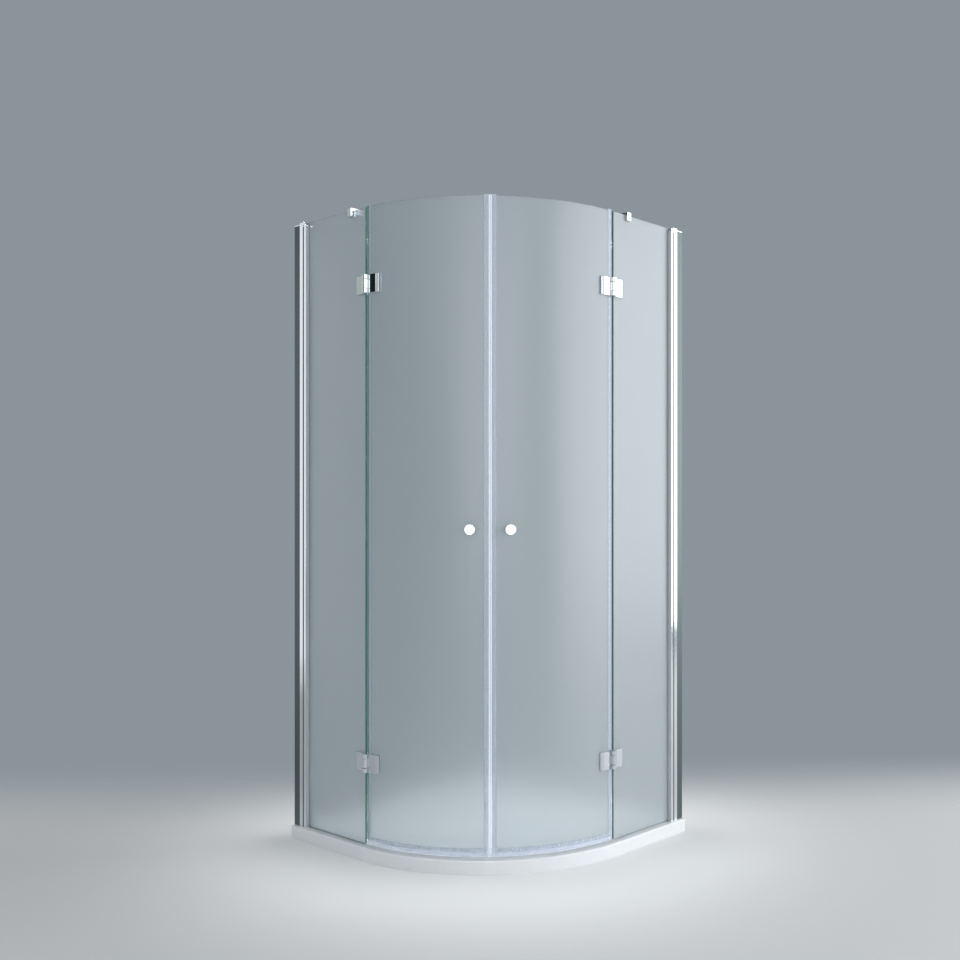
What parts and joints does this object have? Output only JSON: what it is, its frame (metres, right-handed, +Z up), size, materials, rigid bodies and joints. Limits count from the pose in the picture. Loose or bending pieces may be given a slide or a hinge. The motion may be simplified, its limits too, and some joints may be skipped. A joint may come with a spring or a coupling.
{
  "type": "quadrant shower enclosure",
  "caption": "Corner shower enclosure with a rounded front: curved hinged glass doors between fixed side panes, on a low quadrant tray.",
  "frame": {"origin": "centre of the tray's square outline, on the floor", "axes": "+Z up; one wall is the plane x = -0.45, the other the plane y = +0.45; the rounded front faces +X and -Y, and the doors meet on the diagonal x = -y"},
  "size_m": [0.9, 0.9, 1.968],
  "materials": {
    "tray_white": "gloss white cast resin",
    "frosted_glass": "satin frosted toughened glass with green edges",
    "chrome": "polished chrome",
    "chrome_cap": "chrome-plated plastic",
    "profile_aluminium": "bright polished",
    "channel_aluminium": "satin",
    "clear_seal": "clear soft extrusion, slightly blue",
    "clear_gasket": "clear moulded",
    "glazing_rubber": "grey",
    "magnet": "white magnetic strip",
    "nylon": "white nylon",
    "steel": "stainless"
  },
  "bodies": {
    "enclosure": {"shower_tray": "tray_white", "profile_caps": "chrome_cap", "glazing_gaskets": "glazing_rubber", "panel_foot_seals": "clear_seal", "profile_screws": "steel", "hinge_frame_backplates": "chrome", "hinge_frame_gaskets": "clear_gasket", "hinge_frame_screws": "steel", "hinge_pins": "steel", "clamp_pads": "clear_gasket", "clamp_screws": "steel", "brace_tubes": "chrome", "brace_eyes": "chrome", "brace_pins": "steel", "brace_wall_flanges": "chrome", "left_wall_channel": "channel_aluminium", "left_glazing_profile": "profile_aluminium", "left_fixed_panel": "frosted_glass", "left_hinge_frame_leaf_upper": "chrome", "left_hinge_frame_leaf_lower": "chrome", "left_brace_clamp": "chrome", "right_wall_channel": "channel_aluminium", "right_glazing_profile": "profile_aluminium", "right_fixed_panel": "frosted_glass", "right_hinge_frame_leaf_upper": "chrome", "right_hinge_frame_leaf_lower": "chrome", "right_brace_clamp": "chrome"},
    "left_door": {"left_door_panel": "frosted_glass", "left_hinge_door_leaf_upper": "chrome", "left_hinge_door_leaf_lower": "chrome", "left_hinge_door_backplates": "chrome", "left_hinge_door_gaskets": "clear_gasket", "left_hinge_door_screws": "steel", "left_hinge_bushes": "nylon", "left_hinge_side_seal": "clear_seal", "left_bottom_seal": "clear_seal", "left_magnetic_seal": "clear_seal", "left_magnet_strip": "magnet", "left_knob_outer": "chrome", "left_knob_inner": "chrome", "left_knob_washers": "clear_gasket", "left_knob_stud": "steel"},
    "right_door": {"right_door_panel": "frosted_glass", "right_hinge_door_leaf_upper": "chrome", "right_hinge_door_leaf_lower": "chrome", "right_hinge_door_backplates": "chrome", "right_hinge_door_gaskets": "clear_gasket", "right_hinge_door_screws": "steel", "right_hinge_bushes": "nylon", "right_hinge_side_seal": "clear_seal", "right_bottom_seal": "clear_seal", "right_magnetic_seal": "clear_seal", "right_magnet_strip": "magnet", "right_knob_outer": "chrome", "right_knob_inner": "chrome", "right_knob_washers": "clear_gasket", "right_knob_stud": "steel"},
    "waste_cover": {"waste_cover": "tray_white"}
  },
  "joints": [
    {"name": "left_door_hinge", "type": "hinge", "parent": "enclosure", "child": "left_door", "pos_m": [-0.095, -0.435, 1.009], "axis": [0, 0, -1], "range_deg": [0, 110]},
    {"name": "right_door_hinge", "type": "hinge", "parent": "enclosure", "child": "right_door", "pos_m": [0.435, 0.095, 1.009], "axis": [0, 0, 1], "range_deg": [0, 110]},
    {"name": "waste_cover_lift", "type": "slide", "parent": "enclosure", "child": "waste_cover", "axis": [0, 0, 1], "range_m": [0, 0.08]}
  ]
}
